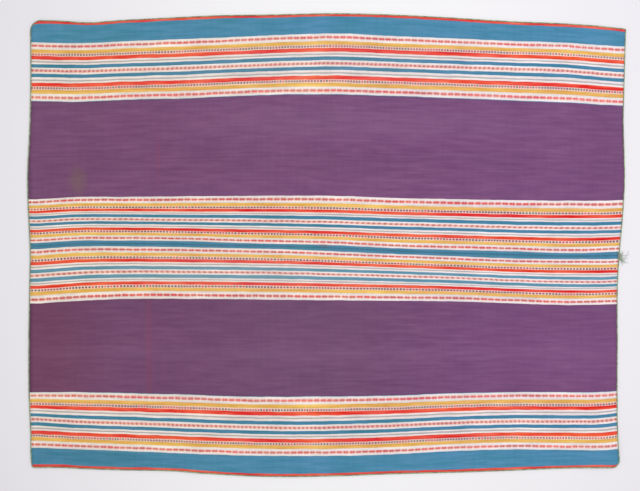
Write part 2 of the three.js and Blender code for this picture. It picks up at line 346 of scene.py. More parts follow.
def cloth_rows():
    """Each row from the outer edge to the seam: its band, its place in the band, its warp and its relief."""
    striped, ribs = group_rows()
    first = striped < 0.5
    halves = dict(near=(striped[first] * 2, ribs[first]), far=(striped[~first] * 2 - 1, ribs[~first]))
    rows = []
    for band, (line, count) in enumerate(BANDS):
        if line in PLAIN_CELLS:
            cells = PLAIN_CELLS[line]
            places, relief = np.arange(cells) / cells, np.zeros(cells)
            lying = places
        else:
            places, relief = halves["near" if line.endswith("_mid") else "far"]
            planned, woven = HALF_SPREAD[line]
            lying = np.interp(places, (0, *planned, 1), (0, *woven, 1))
        rows.append(np.stack([np.full(len(places), band), lying, BAND_STARTS[band] + places * count, relief]))
    last = np.array([[len(BANDS) - 1], [1], [ALL_WARPS], [0]])
    return np.concatenate([*rows, last], axis=1)


def cloth_columns():
    """Places from 0 to 1 along the warp, closer at the ends."""
    length, close, step, fine = 1190, 20, 4.4, 1.6
    end = np.arange(0, close, fine) / length
    middle = np.linspace(close / length, 1 - close / length, round((length - 2 * close) / step))
    return np.concatenate([end, middle, 1 - end[::-1]])


def lay_panel(panel):
    """The panel's grid as it lies, from outer edge to seam: x, y, underside and distance in from the rim."""
    band, place, _, _ = cloth_rows()
    band = band.astype(int)
    side = panel["side"]
    u = cloth_columns()[None, :]
    x = np.zeros((len(band), u.shape[1]))
    y = np.zeros_like(x)
    for _ in range(SETTLE_PASSES):
        left = smooth(END_ROWS, "y", "left", y) + RIM_REACH
        right = smooth(END_ROWS, "y", "right", y) - RIM_REACH
        x = left + (right - left) * u
        edge = smooth(LONG_ROWS, "x", panel["edge"], x) - side * RIM_REACH
        seam = smooth(LONG_ROWS, "x", "seam", x) + side * SEAM_GAP / 2
        woven = [smooth(panel["bands"], "x", line, x) for line, _ in BANDS[1:-1]]
        red = smooth(LONG_ROWS, "x", panel["edge"] + "_red", x)
        lines = np.stack([edge, edge - side * red, *woven, seam])
        columns = np.arange(x.shape[1])
        rows = np.arange(len(band))[:, None]
        start, end = lines[band[:, None], rows, columns], lines[band[:, None] + 1, rows, columns]
        y = start + (end - start) * place[:, None]
    from_edge = side * (edge - y)
    from_rim = np.minimum(np.minimum(x - left, right - x), from_edge)
    rise = np.clip((from_rim - RIM_FLAT) / (RIM_END - RIM_FLAT), 0, 1)
    rise = EDGE_RISE * (1 - rise * rise * (3 - 2 * rise))
    corners = ((panel["left_radius"], x - left, 1), (panel["right_radius"], right - x, -1))
    for radius, from_end, way in corners:
        radius -= RIM_REACH
        a, b = 1 - from_end / radius, 1 - from_edge / radius
        corner = (a > 0) & (b > 0)
        shift_x = radius * a * (1 - np.sqrt(np.clip(1 - b * b / 2, 0, 1)))
        shift_y = radius * b * (1 - np.sqrt(np.clip(1 - a * a / 2, 0, 1)))
        x = np.where(corner, x + way * shift_x, x)
        y = np.where(corner, y - side * shift_y, y)
    return x, y, rise + swell_height(x, y), from_rim


# Meshes from arrays

def mesh_piece(name, points, faces, **uv_maps):
    """A mesh object from points in millimetres and rows of quads, with named coordinates for each point."""
    mesh = bpy.data.meshes.new(name)
    points, faces = np.asarray(points, np.float32) * MM, np.asarray(faces, np.int32)
    mesh.vertices.add(len(points))
    mesh.vertices.foreach_set("co", points.ravel())
    mesh.loops.add(faces.size)
    mesh.loops.foreach_set("vertex_index", faces.ravel())
    mesh.polygons.add(len(faces))
    mesh.polygons.foreach_set("loop_start", np.arange(len(faces), dtype=np.int32) * faces.shape[1])
    mesh.polygons.foreach_set("use_smooth", np.ones(len(faces), bool))
    mesh.update(calc_edges=True)
    for label, spots in uv_maps.items():
        layer = mesh.uv_layers.new(name=label)
        layer.data.foreach_set("uv", np.asarray(spots, np.float32)[faces.ravel()].ravel())
    mesh.validate()
    piece = bpy.data.objects.new(name, mesh)
    bpy.context.scene.collection.objects.link(piece)
    return piece


def grid_faces(rows, columns, closed=False, looped=False):
    """Quads of a grid of points, numbered row by row, closed round its columns or looped round its rows."""
    r = np.arange(rows if looped else rows - 1)[:, None]
    c = np.arange(columns if closed else columns - 1)[None, :]
    next_r, next_c = (r + 1) % rows, (c + 1) % columns
    corners = (r * columns + c, r * columns + next_c, next_r * columns + next_c, next_r * columns + c)
    return np.stack(corners, -1).reshape(-1, 4)


def tube_mesh(path, radius, sides, twist=0.0, plies=0, looped=False):
    """Points, quads and thread coordinates of a round tube along a path, lumpy where it is plied."""
    path = np.asarray(path, float)
    step = np.gradient(path, axis=0)
    tangent = step / np.linalg.norm(step, axis=1, keepdims=True)
    across = np.cross(tangent, (0, 0, 1.0))
    across /= np.maximum(np.linalg.norm(across, axis=1, keepdims=True), 1e-6)
    up = np.cross(across, tangent)
    run = np.concatenate([[0], np.cumsum(np.linalg.norm(np.diff(path, axis=0), axis=1))])
    angle = np.arange(sides) / sides * 2 * math.pi
    lump = 1.0
    if plies:
        lump = 1 + PLY_LUMP * np.cos(plies * (angle[None, :] - run[:, None] * twist))
    size = np.broadcast_to(np.asarray(radius, float).reshape(-1, 1), (len(path), 1)) * lump
    sideways = (size * np.cos(angle))[..., None] * across[:, None]
    upward = (size * np.sin(angle))[..., None] * up[:, None]
    points = (path[:, None] + sideways + upward).reshape(-1, 3)
    uv = np.stack(np.broadcast_arrays(run[:, None] * MM, (angle / (2 * math.pi))[None, :]), -1).reshape(-1, 2)
    return points, grid_faces(len(path), sides, closed=True, looped=looped)[:, ::-1], uv


def capped(points, faces, uv, sides):
    """Closes both ends of a tube with a flat cap of quads that share the end's middle."""
    count = len(points)
    first, last = points[:sides].mean(0), points[-sides:].mean(0)
    ends = []
    for middle, start in ((count, 0), (count + 1, count - sides)):
        for i in range(0, sides, 2):
            spots = [start + i, start + (i + 1) % sides, start + (i + 2) % sides]
            ends.append([middle, *(spots if start == 0 else spots[::-1])])
    points = np.concatenate([points, [first, last]])
    uv = np.concatenate([uv, uv[:1], uv[-1:]])
    return points, np.concatenate([faces, ends]), uv


def joined(parts):
    """One set of points, quads and coordinates from many."""
    points, faces, uvs, count = [], [], [], 0
    for p, f, uv in parts:
        points.append(p)
        faces.append(np.asarray(f) + count)
        uvs.append(uv)
        count += len(p)
    return np.concatenate(points), np.concatenate(faces), np.concatenate(uvs)


# Pieces

def top_height(x, y, under, from_rim):
    """The cloth's upper face: thickness, the stripes' ribs and the seam's ridge, calm under the edging."""
    relief = cloth_rows()[3][:, None]
    seam = smooth(LONG_ROWS, "x", "seam", x)
    ridge = SEAM_RIDGE * np.exp(-(((y - seam) / SEAM_RIDGE_WIDE) ** 2))
    uneven = sum(u["height"] * soft_noise(x, y, u["long"], u["wide"], u["seed"]) for u in UNEVEN)
    free = np.clip((from_rim - EDGING_IN) / RIM_FLAT, 0, 1)
    return under + CLOTH_THICK + free * (relief + ridge + uneven)


def cloth_piece(name, panel):
    """A panel's woven sheet, closed all round, which follows its solid's swells."""
    x, y, under, from_rim = lay_panel(panel)
    rows, columns = x.shape
    top = np.stack([x, y, top_height(x, y, under, from_rim)], -1).reshape(-1, 3)
    bottom = np.stack([x, y, under], -1).reshape(-1, 3)
    upper_faces = grid_faces(rows, columns)
    lower_faces = upper_faces[:, ::-1] + len(top)
    numbers = np.arange(rows * columns).reshape(rows, columns)
    rim = np.concatenate([numbers[0, :-1], numbers[:-1, -1], numbers[-1, :0:-1], numbers[:0:-1, 0], [0]])
    rim_faces = np.stack([rim[1:], rim[:-1], rim[:-1] + len(top), rim[1:] + len(top)], -1)
    faces = np.concatenate([upper_faces, lower_faces, rim_faces])
    if panel["side"] > 0:
        faces = faces[:, ::-1]
    warp = np.broadcast_to(cloth_rows()[2][:, None], x.shape)
    threads = np.stack([x * MM, warp * MM], -1).reshape(-1, 2)
    rims = np.stack([from_rim * MM, from_rim * 0], -1).reshape(-1, 2)
    threads, rims = np.concatenate([threads, threads]), np.concatenate([rims, rims])
    return mesh_piece(name, np.concatenate([top, bottom]), faces, threads=threads, rim=rims)


def rim_path():
    """The cloth's rim, anticlockwise from the right end of the seam and back to it, in even short steps."""
    upper, lower = (np.stack(lay_panel(PANELS[name])[:2], -1) for name in ("upper", "lower"))
    around = [upper[::-1, -1], upper[0, ::-1], upper[:, 0], lower[::-1, 0], lower[0], lower[:, -1]]
    path = np.concatenate([around[0], *(run[1:] for run in around[1:])])
    run = np.concatenate([[0], np.cumsum(np.linalg.norm(np.diff(path, axis=0), axis=1))])
    even = np.linspace(0, run[-1], round(run[-1] / RIM_STEP))
    return np.stack([np.interp(even, run, path[:, i]) for i in (0, 1)], -1), even


def edging_section():
    """The edging's C-shaped section: out from the rim, up from the surface, and how far each point swells."""
    half, round_out, lap, steps = RIM_HEIGHT / 2, 1.4, 104, 11
    lip_edge, lip_swell, slot_end = 0.1, 0.6, 0.1
    outer = []
    for angle in np.radians(np.linspace(-lap, lap, steps)):
        out = EDGING_OUT - round_out + round_out * math.cos(angle)
        outer.append((out, half + half * math.sin(angle), 1.0))
    lip_low = (-EDGING_IN, lip_edge, lip_swell)
    lip_high = (-EDGING_IN, RIM_HEIGHT - lip_edge, lip_swell)
    slot_low, slot_high = LIP_THICK, RIM_HEIGHT - LIP_THICK
    slot_top = (-EDGING_IN, slot_high, 0), (slot_end, slot_high, 0)
    slot_floor = (slot_end, slot_low, 0), (-EDGING_IN, slot_low, 0)
    return np.array([lip_low, *outer, lip_high, *slot_top, *slot_floor])


def edging_piece(name):
    """The narrow edging woven round the rim, with its slanting ribs."""
    rib_deep, rib_mean, rib_slant, crest = 0.2, 0.6, 1.6, 0.4
    swells_from, swells_over, lifted_from, deepest = 1.0, 2, 0.5, -0.1
    wander_share, wander_long, wander_seed, corner_passes = 0.12, 23, 8, 3
    path, run = rim_path()
    tangent = np.gradient(path, axis=0)
    for _ in range(corner_passes):
        tangent[1:-1] = (tangent[:-2] + tangent[1:-1] + tangent[2:]) / 3
    tangent /= np.linalg.norm(tangent, axis=1, keepdims=True)
    outward = np.stack([tangent[:, 1], -tangent[:, 0]], -1)
    base = swell_height(path[:, 0], path[:, 1])
    section = edging_section()
    place = np.arange(len(section)) / len(section)
    rib = np.abs(np.sin(math.pi * (run[:, None] / RIB_PITCH + rib_slant * np.abs(place - crest)[None, :])))
    wander = 1 + wander_share * soft_noise(run, run * 0, wander_long, 1, wander_seed)[:, None]
    swell = rib_deep * (rib - rib_mean) * section[None, :, 2] * wander
    out = section[None, :, 0] + swell * np.clip((section[None, :, 0] + swells_from) / swells_over, 0, 1)
    lift = np.sign(section[:, 1] - RIM_HEIGHT / 2) * (section[:, 1] > lifted_from)
    up = section[None, :, 1] + np.maximum(swell, deepest) * lift[None, :]
    points = np.empty((len(path), len(section), 3))
    points[..., :2] = path[:, None] + outward[:, None] * out[..., None]
    points[..., 2] = base[:, None] + np.maximum(up, 0)
    faces = grid_faces(len(path), len(section), closed=True, looped=True)[:, ::-1]
    uv = np.stack(np.broadcast_arrays(run[:, None] * MM, place[None, :]), -1).reshape(-1, 2)
    return mesh_piece(name, points.reshape(-1, 3), faces, threads=uv)


def seam_stitches(name):
    """The overcast sewing that joins the two selvedges along the seam."""
    first, last, pitch, seed = -590, 574, 4.6, 12
    thick, sides, steps, proud, dip, blunt = 0.42, 6, 7, 0.35, 0.75, 1.08
    strays, reaches, leans = (-0.5, 0.5), (2.1, 2.9), (1.0, 1.8)
    rng = np.random.default_rng(seed)
    t = np.linspace(-1, 1, steps)
    parts = []
    for x in np.arange(first, last, pitch):
        x += rng.uniform(*strays)
        reach, lean = rng.uniform(*reaches), rng.uniform(*leans)
        y = smooth(LONG_ROWS, "x", "seam", np.array([x]))[0]
        path = np.stack([x + lean * t, y + reach * t, np.zeros_like(t)], -1)
        cloth = swell_height(path[:, 0], path[:, 1]) + CLOTH_THICK + SEAM_RIDGE
        path[:, 2] = cloth + proud - dip * t**4
        parts.append(capped(*tube_mesh(path, thick * np.sqrt(blunt - t**6), sides), sides))
    points, faces, uv = joined(parts)
    return mesh_piece(name, points, faces, threads=uv)


def thread_path(start, turn, length, bend, wave, seed):
    """A thread's way from the knot, down to the surface and along it."""
    steps, wave_counts = 26, (1, 1.6)
    lying, fallen, slump, highest_arch = 0.62, 0.35, 1.5, 0.5
    rng = np.random.default_rng(seed)
    t = np.linspace(0, 1, steps)
    along = length * t
    waves = t * rng.uniform(*wave_counts) + rng.uniform()
    stray = bend * np.sin(math.pi * t) + wave * np.sin(2 * math.pi * waves)
    stray -= stray[0] * (1 - t)
    turn = math.radians(turn)
    x = start[0] + along * math.cos(turn) - stray * math.sin(turn)
    y = start[1] + along * math.sin(turn) + stray * math.cos(turn)
    arch = highest_arch * rng.uniform()
    z = lying + (start[2] - lying) * np.clip(1 - t / fallen, 0, 1) ** slump + arch * np.sin(math.pi * t) ** 2
    return np.stack([x, y, z], -1)


KNOT = (584.7, -28.0, 1.9)
# Where along the right end the tied-off threads leave the edging, and how far the first one bows out
TIED_FROM = 577.5
TIED_AT = (-13, -15, -17, -19, -21, -23, -25, -27, -29.5)
TIED_BOW = 3.5
THREADS = table(
    "turn length bend wave radius",
    (83, 18, -1.5, 0.5, 0.55),
    (71, 12, 2.5, 0.7, 0.5),
    (62, 17, 2, 0.9, 0.55),
    (47, 24.5, -3, 1, 0.5),
    (38, 15, 3, 0.8, 0.45),
    (25, 20.5, 3, 1.1, 0.55),
    (12, 11, -2, 0.6, 0.5),
    (4, 15.5, 1.5, 0.9, 0.55),
    (-12, 13, -2.5, 0.8, 0.5),
    (-23, 18, -2.5, 1, 0.5),
    (-38, 10, 2, 0.6, 0.5),
    (-52, 13, 2, 0.7, 0.55),
    (-80, 14.5, 1.5, 0.6, 0.5),
    (-66, 11, -1.5, 0.6, 0.55),
)


def thread_ends(name):
    """The knot where the edging's threads start and stop, its tied-off threads and its loose ends."""
    sides, spin = 8, dict(twist=1.9, plies=2)
    blunt, taper = 1.02, 0.35
    knot_thick, knot_wide, knot_loop, knot_steps = 0.72, 1.5, 0.75, 70
    tied_thick, tied_steps, tied_sweep, tied_level, tied_arch = 0.62, 18, 1.6, 2.9, 0.8
    parts = []
    for seed, row in enumerate(THREADS):
        path = thread_path(KNOT, row["turn"], row["length"], row["bend"], row["wave"], seed)
        t = np.linspace(0, 1, len(path))
        radius = row["radius"] * np.sqrt(blunt - t**9) * (1 - taper * t)
        parts.append(capped(*tube_mesh(path, radius, sides, **spin), sides))
    # A trefoil: three loops in two turns
    turns = np.linspace(0, 2 * math.pi, knot_steps, endpoint=False)
    loop = knot_wide + knot_loop * np.cos(3 * turns)
    knot = np.stack([loop * np.cos(2 * turns), loop * np.sin(2 * turns), knot_loop * np.sin(3 * turns)], -1)
    tied = [tube_mesh(knot + np.array(KNOT), knot_thick, sides, looped=True, **spin)]
    t = np.linspace(0, 1, tied_steps)
    for number, y in enumerate(TIED_AT):
        bow = TIED_BOW * (1 - number / len(TIED_AT)) * np.sin(math.pi * t)
        x = TIED_FROM + (KNOT[0] - TIED_FROM) * t + bow
        path = np.stack([x, y + (KNOT[1] - y) * t**tied_sweep, tied_level - t], -1)
        path[:, 2] += swell_height(path[:, 0], path[:, 1]) * (1 - t) + tied_arch * np.sin(math.pi * t)
        tied.append(capped(*tube_mesh(path, tied_thick, sides, **spin), sides))
    for points, faces, uv in tied:
        # Counted backwards, so that only the loose ends pale
        parts.append((points, faces, -uv))
    points, faces, uv = joined(parts)
    return mesh_piece(name, points, faces, threads=uv)


# Shader nodes

def linear(colour):
    """A colour out of 255 as the shader's linear red, green, blue and alpha."""
    parts = [c / 255 for c in colour]
    return (*(c / 12.92 if c <= 0.04045 else ((c + 0.055) / 1.055) ** 2.4 for c in parts), 1)


class Nodes:
    """Adds nodes to one tree and wires them by plain calls."""

    def __init__(self, tree):
        self.tree = tree

    def feed(self, socket, value):
        if isinstance(value, bpy.types.NodeSocket):
            self.tree.links.new(value, socket)
        else:
            socket.default_value = value

    def add(self, kind, inputs=None, **settings):
        node = self.tree.nodes.new(kind)
        for name, value in settings.items():
            setattr(node, name, value)
        for name, value in (inputs or {}).items():
            self.feed(node.inputs[name], value)
        return node

    def math(self, operation, *values):
        node = self.add("ShaderNodeMath", operation=operation)
        for socket, value in zip(node.inputs, values):
            self.feed(socket, value)
        return node.outputs[0]

    def times(self, first, second):
        return self.math("MULTIPLY", first, second)

    def times_plus(self, first, second, added):
        return self.math("MULTIPLY_ADD", first, second, added)

    def hypot(self, a, b):
        return self.math("SQRT", self.math("ADD", self.times(a, a), self.times(b, b)))

    def blend(self, factor, first, second, blend_type="MIX"):
        node = self.add("ShaderNodeMix", data_type="RGBA", blend_type=blend_type)
        for socket, value in zip((node.inputs[0], node.inputs[6], node.inputs[7]), (factor, first, second)):
            self.feed(socket, value)
        return node.outputs[2]

    def steps(self, value, stops):
        """A row of plain colours, each from its place on: stops are (place, colour)."""
        node = self.add("ShaderNodeValToRGB", {"Fac": value})
        ramp = node.color_ramp
        ramp.interpolation = "CONSTANT"
        for i, (place, colour) in enumerate(stops):
            stop = ramp.elements[i] if i < 2 else ramp.elements.new(place)
            stop.position = place
            stop.color = colour
        return node.outputs["Color"]

    def spread(self, value, low, high, to_low=0.0, to_high=1.0):
        node = self.add("ShaderNodeMapRange", {"Value": value, "From Min": low, "From Max": high})
        node.interpolation_type = "SMOOTHSTEP"
        self.feed(node.inputs["To Min"], to_low)
        self.feed(node.inputs["To Max"], to_high)
        return node.outputs["Result"]

    def chance(self, value):
        return self.add("ShaderNodeTexWhiteNoise", {"W": value}, noise_dimensions="1D").outputs["Value"]

    def noise(self, along, across, detail):
        spot = self.add("ShaderNodeCombineXYZ", {"X": along, "Y": across}).outputs[0]
        inputs = {"Vector": spot, "Scale": 1.0, "Detail": detail, "Roughness": 0.6}
        return self.add("ShaderNodeTexNoise", inputs, noise_dimensions="2D").outputs[0]

    def bump(self, shader, strength, height):
        node = self.add("ShaderNodeBump", {"Strength": strength, "Distance": BUMP_DEEP, "Height": height})
        self.feed(shader.inputs["Normal"], node.outputs[0])

    def group(self, tree, inputs):
        return self.add("ShaderNodeGroup", inputs, node_tree=tree).outputs


def new_group(name, inputs, outputs):
    """An empty node group with named sockets: one called Colour is a colour, and the rest are values."""
    tree = bpy.data.node_groups.new(name, "ShaderNodeTree")
    for labels, way in ((inputs, "INPUT"), (outputs, "OUTPUT")):
        for label in labels:
            kind = "NodeSocketColor" if label == "Colour" else "NodeSocketFloat"
            tree.interface.new_socket(label, in_out=way, socket_type=kind)
    nodes = Nodes(tree)
    return nodes, nodes.add("NodeGroupInput").outputs, nodes.add("NodeGroupOutput").inputs


def charted_motif(name, chart):
    """A woven motif from its chart: 1 on the motif's floats, 0 elsewhere and outside the stripe."""
    nodes, given, out = new_group(name, ["Along", "Across", "Repeat"], ["Mask"])
    turn = nodes.math("FRACT", nodes.math("DIVIDE", given["Along"], given["Repeat"]))
    row = nodes.math("FLOOR", nodes.times(given["Across"], len(chart)))
    mask = 0.0
    for number, squares in enumerate(chart):
        stops = [(0, squares[0])]
        for i in range(1, len(squares)):
            if squares[i] != squares[i - 1]:
                stops.append((i / len(squares), squares[i]))
        if len(stops) == 1:
            stops.append((1, squares[0]))
        level = {"#": (1, 1, 1, 1), ".": (0, 0, 0, 1)}
        floats = nodes.steps(turn, [(place, level[square]) for place, square in stops])
        here = nodes.math("COMPARE", row, number, 0.1)
        mask = nodes.times_plus(floats, here, mask)
    nodes.feed(out["Mask"], mask)
    return nodes.tree


def warp_face():
    """Warp-faced weave: the rounded backs of the warps, which pass over every other pick."""
    nodes, given, out = new_group("warp_face", ["Along", "Warp", "Pick"], ["Height", "Hollow"])
    across = nodes.math("SINE", nodes.times(nodes.math("FRACT", given["Warp"]), math.pi))
    odd = nodes.math("MODULO", nodes.math("FLOOR", given["Warp"]), 2)
    pick = nodes.times_plus(odd, 0.5, nodes.math("DIVIDE", given["Along"], given["Pick"]))
    bead = nodes.math("ABSOLUTE", nodes.math("SINE", nodes.times(pick, math.pi)))
    height = nodes.times(across, nodes.times_plus(bead, 0.5, 0.5))
    nodes.feed(out["Height"], height)
    nodes.feed(out["Hollow"], nodes.spread(height, 0.0, 0.55, 1.0, 0.0))
    return nodes.tree


def wool_tone():
    """Uneven dyeing: each thread a little lighter or darker, in streaks and slow patches."""
    nodes, given, out = new_group("wool_tone", ["Colour", "Along", "Thread", "Streak", "Patch"], ["Colour"])
    lone = nodes.math("SUBTRACT", nodes.chance(nodes.math("FLOOR", given["Thread"])), 0.5)
    along, thread = given["Along"], given["Thread"]
    batch, beat, patch = (
        nodes.math("SUBTRACT", nodes.noise(
            nodes.times(along, slow), nodes.times(thread, fine), detail
        ), 0.5)
        for slow, fine, detail in DYE_NOISE.values()
    )
    lone_share, batch_share, beat_share, fades, hue_turn = 0.3, 1.4, 0.45, -0.45, 0.025
    streak = nodes.times_plus(lone, lone_share, nodes.times(batch, batch_share))
    streak = nodes.times_plus(beat, beat_share, streak)
    value = nodes.times_plus(streak, given["Streak"], 1.0)
    value = nodes.times_plus(patch, given["Patch"], value)
    faded = nodes.times_plus(nodes.times(batch, given["Streak"]), fades, 1.0)
    hue = nodes.times_plus(nodes.math("ADD", batch, patch), hue_turn, 0.5)
    turned = {"Hue": hue, "Saturation": faded, "Value": value, "Color": given["Colour"]}
    nodes.feed(out["Colour"], nodes.add("ShaderNodeHueSaturation", turned).outputs["Color"])
    return nodes.tree


def twisted_ply():
    """The slanting lie of a plied thread: ridge height and the hollow between plies."""
    nodes, given, out = new_group("twisted_ply", ["Along", "Around", "Pitch", "Plies"], ["Height", "Hollow"])
    turn = nodes.math("DIVIDE", given["Along"], given["Pitch"])
    slant = nodes.times_plus(given["Around"], given["Plies"], turn)
    ridge = nodes.math("ABSOLUTE", nodes.math("SINE", nodes.times(slant, math.pi)))
    nodes.feed(out["Height"], ridge)
    nodes.feed(out["Hollow"], nodes.spread(ridge, 0.0, 0.5, 1.0, 0.0))
    return nodes.tree


def plan_starts():
    """Each stripe's kind and its first warp within the group."""
    starts, warp = [], 0
    for kind, count in STRIPE_PLAN:
        starts.append((kind, warp, count))
        warp += count
    return starts


def warp_plan(motifs):
    """A panel's woven colours from the warp's number: bands, stripes and charted motifs."""
    inputs, outputs = ["Along", "Warp", "Seed", "Faded"], ["Colour", "Motif", "Field"]
    nodes, given, out = new_group("warp_plan", inputs, outputs)
    along, warp = given["Along"], given["Warp"]
    kinds = dict(selvedge=0, blue=BAND_STARTS[1], purple=FIELD_START, seam_blue=BAND_STARTS[7])
    bands = [(start / ALL_WARPS, linear(WOOL[kind])) for kind, start in kinds.items()]
    colour = nodes.steps(nodes.math("DIVIDE", warp, ALL_WARPS), bands)
    inner = nodes.math("GREATER_THAN", warp, (FIELD_START + INNER_START) / 2)
    start = nodes.times_plus(inner, INNER_START - OUTER_START, OUTER_START)
    place = nodes.math("DIVIDE", nodes.math("SUBTRACT", warp, start), GROUP_WARPS)
    within = nodes.math("COMPARE", place, 0.5, 0.5 - GROUND_OVER / GROUP_WARPS)
    shades = dict(WOOL, blue=WOOL["stripe_blue"])
    faded = dict(WOOL, blue=WOOL["faded_blue"])
    stripes, pale_stripes = (
        nodes.steps(place, [(first / GROUP_WARPS, linear(dye[kind])) for kind, first, _ in plan_starts()])
        for dye in (shades, faded)
    )
    stripes = nodes.blend(nodes.times(inner, given["Faded"]), stripes, pale_stripes)
    colour = nodes.blend(within, colour, stripes)
    from_side = nodes.math("ABSOLUTE", nodes.math("SUBTRACT", place, 0.5))
    from_side = nodes.times_plus(from_side, -GROUP_WARPS, GROUP_WARPS / 2)
    lone = nodes.chance(nodes.math("FLOOR", warp))
    ragged = nodes.times_plus(lone, WARP_STRAY, along)
    group = nodes.times_plus(inner, GROUP_APART, given["Seed"])
    side = nodes.times_plus(nodes.math("GREATER_THAN", place, 0.5), SIDE_APART, group)
    shown = nodes.times(within, nodes.times_plus(inner, OUTER_WORN, 1 - OUTER_WORN))
    starts = {kind: (first, count) for kind, first, count in reversed(plan_starts())}
    motif = 0.0
    for kind in ("dash", "dots", "mid"):
        first, count = starts[kind]
        number = group if kind == "mid" else side
        across = nodes.math("DIVIDE", nodes.math("SUBTRACT", from_side, first), count)
        if kind == "mid":
            across = nodes.math("SUBTRACT", nodes.times(place, GROUP_WARPS / count), first / count)
        outer, inside = REPEATS[kind]
        repeat = nodes.times_plus(inner, inside - outer, outer)
        beaten = nodes.noise(nodes.times(along, BEAT_SLOW), number, 1.0)
        shifted = nodes.times_plus(beaten, BEAT_FAR, ragged)
        shifted = nodes.times_plus(number, ROW_APART, shifted)
        mask = nodes.group(motifs[kind], {"Along": shifted, "Across": across, "Repeat": repeat})["Mask"]
        mask = nodes.times(mask, shown)
        turn = nodes.math("FLOOR", nodes.math("DIVIDE", shifted, repeat))
        if kind == "dots":
            run = nodes.math("FLOOR", nodes.math("DIVIDE", turn, RUN_TICKS))
            run = nodes.math("ADD", run, number)
            run = nodes.times_plus(nodes.math("MODULO", turn, 2), SECOND_DYE, run)
            dyes = [(i / len(TICK_DYES), linear(WOOL[dye])) for i, dye in enumerate(TICK_DYES)]
            ink = nodes.steps(nodes.chance(run), dyes)
        elif kind == "dash":
            reds = linear(WOOL["dash_red"]), linear(WOOL["dash_brick"])
            ink = nodes.blend(nodes.spread(beaten, *DASH_TURNS), *reds)
        else:
            ink = linear(WOOL["block"])
        colour = nodes.blend(mask, colour, ink)
        motif = nodes.math("ADD", motif, mask)
    nodes.feed(out["Colour"], colour)
    nodes.feed(out["Motif"], motif)
    field = nodes.math("COMPARE", warp, (FIELD_START + INNER_START) / 2, (INNER_START - FIELD_START) / 2)
    nodes.feed(out["Field"], field)
    return nodes.tree


def mark():
    """A soft worn, stained or darker spot on the cloth, an ellipse with a ragged rim."""
    nodes, given, out = new_group("mark", ["Along", "Warp", *SPOT_SIZES], ["Mask"])
    a = nodes.math("DIVIDE", nodes.math("SUBTRACT", given["Along"], given["Middle"]), given["Half Long"])
    b = nodes.math("DIVIDE", nodes.math("SUBTRACT", given["Warp"], given["Middle Warp"]), given["Half Warps"])
    reach = nodes.hypot(a, b)
    fine_long, fine_wide, detail, whole_to = 0.12, 0.1, 4.0, 0.2
    fine_along = nodes.times(given["Along"], fine_long)
    fine_across = nodes.times(given["Warp"], fine_wide)
    ragged = nodes.math("SUBTRACT", nodes.noise(fine_along, fine_across, detail), 0.5)
    ragged = nodes.times(ragged, given["Ragged"])
    reach = nodes.math("ADD", reach, ragged)
    nodes.feed(out["Mask"], nodes.spread(reach, whole_to, 1.0, 1.0, 0.0))
    return nodes.tree


def new_material(name, settings):
    """A new material with its shader's settings: the material, its node builder and its shader."""
    material = bpy.data.materials.new(name)
    material.use_nodes = True
    shader = material.node_tree.nodes["Principled BSDF"]
    for label, value in settings.items():
        shader.inputs[label].default_value = value
    return material, Nodes(material.node_tree), shader


def woollen(name):
    """A new wool material: its node builder, its shader and its thread coordinates, along and across."""
    material, nodes, shader = new_material(name, WOOL_SHADER)
    place = nodes.add("ShaderNodeUVMap", uv_map="threads").outputs[0]
    split = nodes.add("ShaderNodeSeparateXYZ", {"Vector": place}).outputs
    return material, nodes, shader, split


def cloth_material(name, groups, seed, faded, marks):
    """The panel's wool: woven stripes, uneven dye, weave with painted shade in its hollows, a darker rim, and
    stains and other marks.
    """
    stray_fine, stray_detail, stray_far = 0.03, 2.0, 1.5
    streaks, patches, rim_dark_share, hollow_shade, motif_proud = 0.34, 0.22, 0.1, 0.12, 0.5
    yellow_from, yellow_to, yellower, cool = -560.0, 520.0, (1.0, 1.0, 0.93, 1), (1.0, 1.0, 1.03, 1)
    bump_strong, smoothest, rougher = 0.35, 0.86, 0.08
    material, nodes, shader, split = woollen(name)
    along = nodes.times(split["X"], 1 / MM)
    warp = nodes.times(split["Y"], 1 / MM)
    slow_along, slow_warp = (nodes.times(run, stray_fine) for run in (along, warp))
    wander = nodes.noise(slow_along, slow_warp, stray_detail)
    strayed = nodes.math("ADD", warp, nodes.times_plus(wander, 2 * stray_far, -stray_far))
    plan = nodes.group(groups["plan"], {"Along": along, "Warp": strayed, "Seed": seed, "Faded": faded})
    dyed = {"Colour": plan["Colour"], "Along": along, "Thread": warp, "Streak": streaks, "Patch": patches}
    toned = nodes.group(groups["tone"], dyed)["Colour"]
    for m in marks:
        spot = dict(zip(SPOT_SIZES, m["spot"]))
        mask = nodes.group(groups["mark"], {"Along": along, "Warp": warp, **spot})["Mask"]
        reach = nodes.math("MAXIMUM", plan["Field"], 1 - m["field"])
        mask = nodes.times(mask, nodes.times(reach, m["share"]))
        toned = nodes.blend(mask, toned, linear(WOOL[m["dye"]]))
    # Yellower towards the left end, a little bluer towards the right end
    tint = nodes.blend(nodes.spread(along, yellow_from, yellow_to), yellower, cool)
    toned = nodes.blend(1.0, toned, tint, "MULTIPLY")
    weave = nodes.group(groups["weave"], {"Along": along, "Warp": warp, "Pick": PICK})
    # The cloth darkens next to the edging
    rim = nodes.add("ShaderNodeUVMap", uv_map="rim").outputs[0]
    from_rim = nodes.add("ShaderNodeSeparateXYZ", {"Vector": rim}).outputs["X"]
    rim_darkening = nodes.spread(nodes.times(from_rim, 1 / MM), *RIM_DARKER, rim_dark_share, 0.0)
    # Painted shade in the weave's hollows, plus the cloth's darker rim, as a blend towards the dark
    dark = nodes.times_plus(weave["Hollow"], hollow_shade, rim_darkening)
    nodes.feed(shader.inputs["Base Color"], nodes.blend(dark, toned, CLOTH_DARK))
    height = nodes.times_plus(plan["Motif"], motif_proud, weave["Height"])
    nodes.bump(shader, bump_strong, height)
    rough = nodes.times_plus(weave["Hollow"], rougher, smoothest)
    nodes.feed(shader.inputs["Roughness"], rough)
    return material


